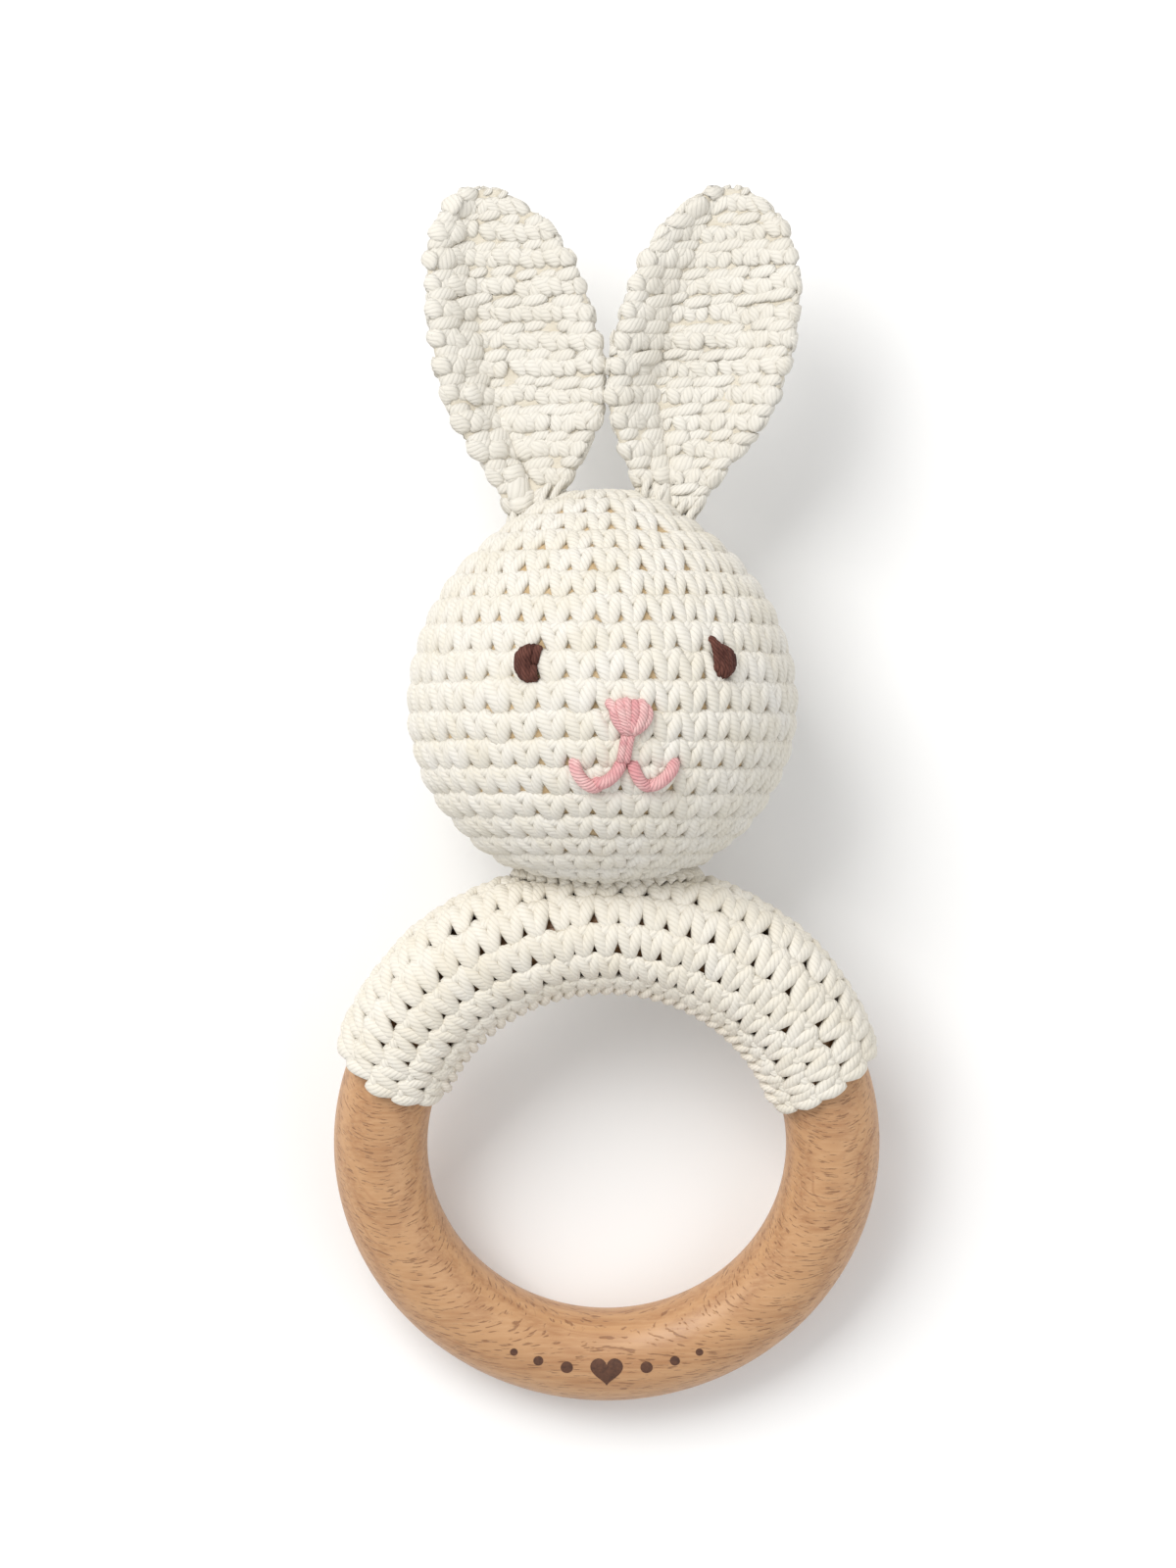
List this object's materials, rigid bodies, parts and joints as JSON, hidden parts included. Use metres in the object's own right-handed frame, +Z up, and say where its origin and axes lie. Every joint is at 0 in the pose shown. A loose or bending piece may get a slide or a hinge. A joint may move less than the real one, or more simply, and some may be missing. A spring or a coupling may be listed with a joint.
{
  "type": "teething ring",
  "caption": "Wooden teething ring with a crocheted sleeve and a stuffed crocheted bunny head that rattles.",
  "frame": {"origin": "on the table, under the middle of the bounding box, with the toy lying on its back", "axes": "+Y from the ring towards the ears, +Z up from the table and out of the face, +X to the face's right as seen from above"},
  "size_m": [0.07, 0.1564, 0.0502],
  "materials": {
    "beech": "sanded, oiled beech with fine flecks",
    "sleeve_cotton": "crocheted cream cotton",
    "sewing_yarn": "cream cotton yarn, whip-stitched",
    "head_cotton": "crocheted cream cotton",
    "ear_cotton": "crocheted off-white cotton",
    "fibrefill": "white polyester fibrefill",
    "capsule_plastic": "moulded, two snapped halves",
    "bead_plastic": "smooth moulded balls",
    "eye_thread": "dark brown embroidery cotton",
    "face_thread": "pink embroidery cotton"
  },
  "bodies": {
    "sleeve": {"sleeve_cover": "sleeve_cotton", "sleeve_seam": "sewing_yarn"},
    "ring": {"wooden_ring": "beech"},
    "neck": {"neck_seam": "sewing_yarn"},
    "head": {"head_cover": "head_cotton", "head_stuffing": "fibrefill", "capsule_front": "capsule_plastic", "capsule_back": "capsule_plastic", "left_ear_seam": "sewing_yarn", "right_ear_seam": "sewing_yarn", "left_eye": "eye_thread", "right_eye": "eye_thread", "nose": "face_thread", "nose_stem": "face_thread", "mouth_left": "face_thread", "mouth_right": "face_thread"},
    "left_ear": {"left_ear": "ear_cotton"},
    "right_ear": {"right_ear": "ear_cotton"},
    "bead_1": {"bead_1": "bead_plastic"},
    "bead_2": {"bead_2": "bead_plastic"},
    "bead_3": {"bead_3": "bead_plastic"},
    "bead_4": {"bead_4": "bead_plastic"},
    "bead_5": {"bead_5": "bead_plastic"}
  },
  "joints": [
    {"name": "ring_turn", "type": "hinge", "parent": "sleeve", "child": "ring", "pos_m": [0, -0.04457, 0.01477], "axis": [0, -0.3024, 0.9532], "continuous": true},
    {"name": "neck_tilt", "type": "hinge", "parent": "sleeve", "child": "neck", "pos_m": [0, -0.01693, 0.02354], "axis": [0, -0.3024, 0.9532], "range_deg": [-8, 8], "stiffness_Nm_per_rad": 0.1},
    {"name": "head_nod", "type": "hinge", "parent": "neck", "child": "head", "pos_m": [0, -0.01693, 0.02354], "axis": [1, 0, 0], "range_deg": [0, 40], "stiffness_Nm_per_rad": 0.1},
    {"name": "left_ear_flop", "type": "hinge", "parent": "head", "child": "left_ear", "pos_m": [-0.0099, 0.03952, 0.02465], "axis": [1, 0, 0], "range_deg": [-30, 75], "stiffness_Nm_per_rad": 0.005},
    {"name": "right_ear_flop", "type": "hinge", "parent": "head", "child": "right_ear", "pos_m": [0.0084, 0.03952, 0.02465], "axis": [1, 0, 0], "range_deg": [-30, 75], "stiffness_Nm_per_rad": 0.005},
    {"name": "bead_1_travel", "type": "slide", "parent": "head", "child": "bead_1", "axis": [0, 0, 1], "range_m": [0, 0.0183]},
    {"name": "bead_2_travel", "type": "slide", "parent": "head", "child": "bead_2", "axis": [0, 0, 1], "range_m": [0, 0.0153]},
    {"name": "bead_3_travel", "type": "slide", "parent": "head", "child": "bead_3", "axis": [0, 0, 1], "range_m": [0, 0.0153]},
    {"name": "bead_4_travel", "type": "slide", "parent": "head", "child": "bead_4", "axis": [0, 0, 1], "range_m": [0, 0.0153]},
    {"name": "bead_5_travel", "type": "slide", "parent": "head", "child": "bead_5", "axis": [0, 0, 1], "range_m": [0, 0.0153]}
  ]
}
